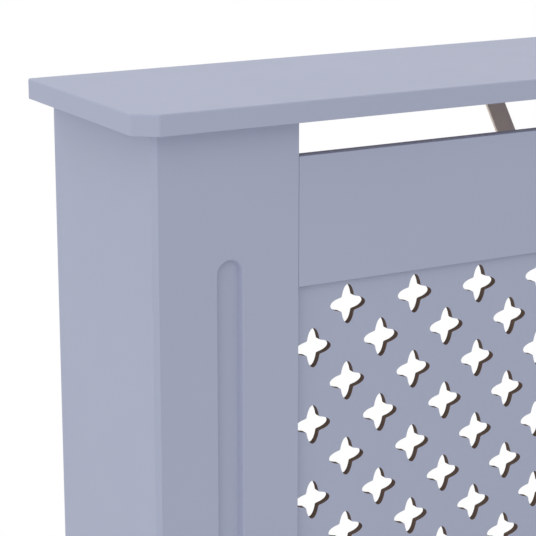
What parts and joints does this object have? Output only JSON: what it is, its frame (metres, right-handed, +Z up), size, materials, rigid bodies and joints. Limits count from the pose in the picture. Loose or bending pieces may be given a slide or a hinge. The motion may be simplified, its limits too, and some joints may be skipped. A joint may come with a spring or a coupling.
{
  "type": "radiator cover cabinet",
  "caption": "Painted MDF radiator cover, open at the back, with an overhanging top board, mitred legs with round-ended flutes and a star-pierced grille between upper and lower rails.",
  "frame": {"origin": "on the floor, in the middle of the cover's width and depth", "axes": "+Z up, the front faces -Y, the open back faces +Y towards the wall, +X to the right seen from the front"},
  "size_m": [0.78, 0.19, 0.815],
  "materials": {
    "painted_mdf": "smooth satin blue-grey paint on MDF",
    "grille_board": "satin blue-grey paint on the front, raw brown MDF in the holes and behind",
    "raw_mdf": "raw sawn MDF",
    "beech": "fluted beech dowel",
    "strap_steel": "plain rolled steel strap",
    "zinc_steel": "bright zinc plate",
    "zinc_alloy": "die-cast zinc alloy"
  },
  "bodies": {
    "root": {"top_board": "painted_mdf", "left_side_panel": "painted_mdf", "right_side_panel": "painted_mdf", "left_front_stile": "painted_mdf", "right_front_stile": "painted_mdf", "upper_rail": "painted_mdf", "lower_rail": "painted_mdf", "grille_panel": "grille_board", "centre_stay": "strap_steel", "stay_screws": "zinc_steel", "left_corner_blocks": "raw_mdf", "right_corner_blocks": "raw_mdf", "board_dowels": "beech", "cam_bolts": "zinc_steel", "cam_locks": "zinc_alloy", "left_wall_bracket": "zinc_steel", "right_wall_bracket": "zinc_steel", "bracket_screws": "zinc_steel"}
  },
  "joints": []
}
